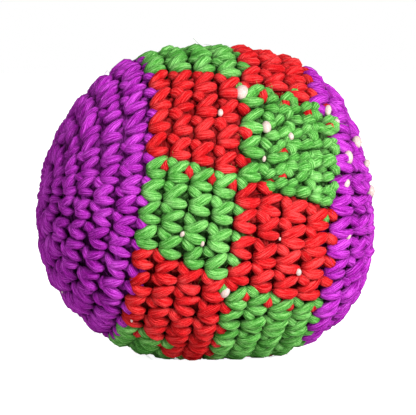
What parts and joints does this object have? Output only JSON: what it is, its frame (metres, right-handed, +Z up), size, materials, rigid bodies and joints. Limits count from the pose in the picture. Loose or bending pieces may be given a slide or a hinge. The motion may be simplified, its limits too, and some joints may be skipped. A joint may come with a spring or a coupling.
{
  "type": "crocheted footbag",
  "caption": "Round crocheted footbag with solid-colour end caps, chequered bands round its middle and a loose pellet filling that shows between the stitches.",
  "frame": {"origin": "centre of the box round the footbag, at its bottom, on the surface that it rests on", "axes": "+X along the crochet axis from the start cap to the end cap, to the right in the picture; +Y away from the viewer; +Z up"},
  "size_m": [0.0518, 0.0508, 0.0492],
  "materials": {
    "purple_yarn": "soft crocheted yarn, slight sheen",
    "red_yarn": "soft crocheted yarn, slight sheen",
    "green_yarn": "soft crocheted yarn, slight sheen",
    "plastic_pellets": "smooth cream pellets"
  },
  "bodies": {
    "root": {"start_cap": "purple_yarn", "start_loop": "purple_yarn", "first_band_red_1": "red_yarn", "first_band_green_1": "green_yarn", "first_band_red_2": "red_yarn", "first_band_green_2": "green_yarn", "first_band_red_3": "red_yarn", "first_band_green_3": "green_yarn", "first_band_red_4": "red_yarn", "first_band_green_4": "green_yarn", "first_band_red_5": "red_yarn", "first_band_green_5": "green_yarn", "second_band_red_1": "red_yarn", "second_band_green_1": "green_yarn", "second_band_red_2": "red_yarn", "second_band_green_2": "green_yarn", "second_band_red_3": "red_yarn", "second_band_green_3": "green_yarn", "second_band_red_4": "red_yarn", "second_band_green_4": "green_yarn", "second_band_red_5": "red_yarn", "second_band_green_5": "green_yarn", "end_cap": "purple_yarn", "closing_knot": "purple_yarn", "pellet_fill": "plastic_pellets"}
  },
  "joints": []
}
